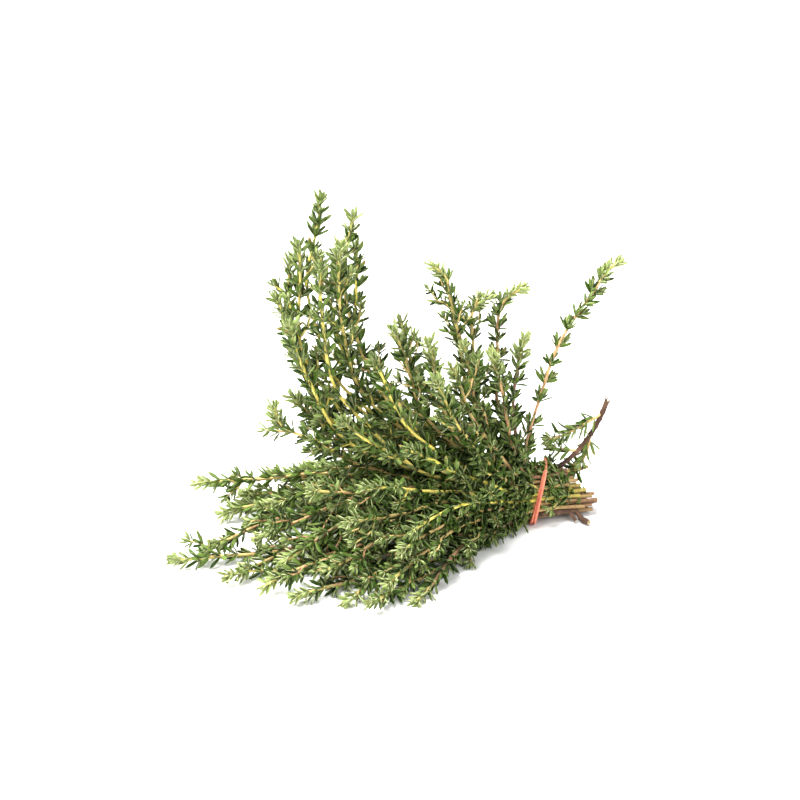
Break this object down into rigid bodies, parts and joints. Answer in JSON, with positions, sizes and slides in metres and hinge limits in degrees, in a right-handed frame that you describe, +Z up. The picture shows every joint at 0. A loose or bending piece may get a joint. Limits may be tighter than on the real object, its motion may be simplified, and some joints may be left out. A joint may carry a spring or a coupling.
{
  "type": "thyme bundle",
  "caption": "Tied bunch of cut thyme lying on a table: leafy sprigs fan low and rise behind, their cut ends held together by a doubled rubber band.",
  "frame": {"origin": "middle of the bundle's bounding box at the surface it lies on", "axes": "+X from the leafy tips to the cut ends, +Y to the far side, +Z up"},
  "size_m": [0.199, 0.1396, 0.1451],
  "materials": {
    "deep_green": "matte leaf, dark olive green",
    "soft_green": "matte leaf, mid green with paler undersides",
    "bright_green": "matte leaf, yellow-green with yellow stems",
    "coral_rubber": "coral red rubber band, slightly glossy"
  },
  "bodies": {
    "root": {"floor_sprig_1": "deep_green", "floor_sprig_2": "deep_green", "floor_sprig_3": "deep_green", "floor_sprig_4": "deep_green", "floor_sprig_5": "deep_green", "floor_sprig_6": "deep_green", "low_sprig_1": "deep_green", "low_sprig_2": "deep_green", "low_sprig_3": "deep_green", "low_sprig_4": "deep_green", "low_sprig_5": "deep_green", "low_sprig_6": "deep_green", "low_sprig_7": "deep_green", "low_sprig_8": "deep_green", "pile_sprig_1": "soft_green", "pile_sprig_2": "soft_green", "pile_sprig_3": "soft_green", "pile_sprig_4": "soft_green", "pile_sprig_5": "soft_green", "pile_sprig_6": "soft_green", "pile_sprig_7": "soft_green", "pile_sprig_8": "soft_green", "arched_sprig_1": "soft_green", "arched_sprig_2": "soft_green", "arched_sprig_3": "soft_green", "arched_sprig_4": "soft_green", "arched_sprig_5": "soft_green", "arched_sprig_6": "soft_green", "arched_sprig_7": "soft_green", "rising_sprig_1": "bright_green", "rising_sprig_2": "bright_green", "rising_sprig_3": "bright_green", "rising_sprig_4": "bright_green", "rising_sprig_5": "bright_green", "rising_sprig_6": "bright_green", "rising_sprig_7": "bright_green", "tall_sprig_1": "bright_green", "tall_sprig_2": "bright_green", "tall_sprig_3": "bright_green", "tall_sprig_4": "bright_green", "tall_sprig_5": "bright_green", "tall_sprig_6": "bright_green", "upright_sprig_1": "bright_green", "upright_sprig_2": "bright_green", "upright_sprig_3": "bright_green", "upright_sprig_4": "bright_green", "upright_sprig_5": "bright_green", "upright_sprig_6": "bright_green", "steep_sprig_1": "soft_green", "steep_sprig_2": "soft_green", "steep_sprig_3": "soft_green", "steep_sprig_4": "soft_green", "top_sprig_1": "soft_green", "top_sprig_2": "soft_green", "top_sprig_3": "soft_green", "top_sprig_4": "soft_green", "rubber_band": "coral_rubber"}
  },
  "joints": []
}
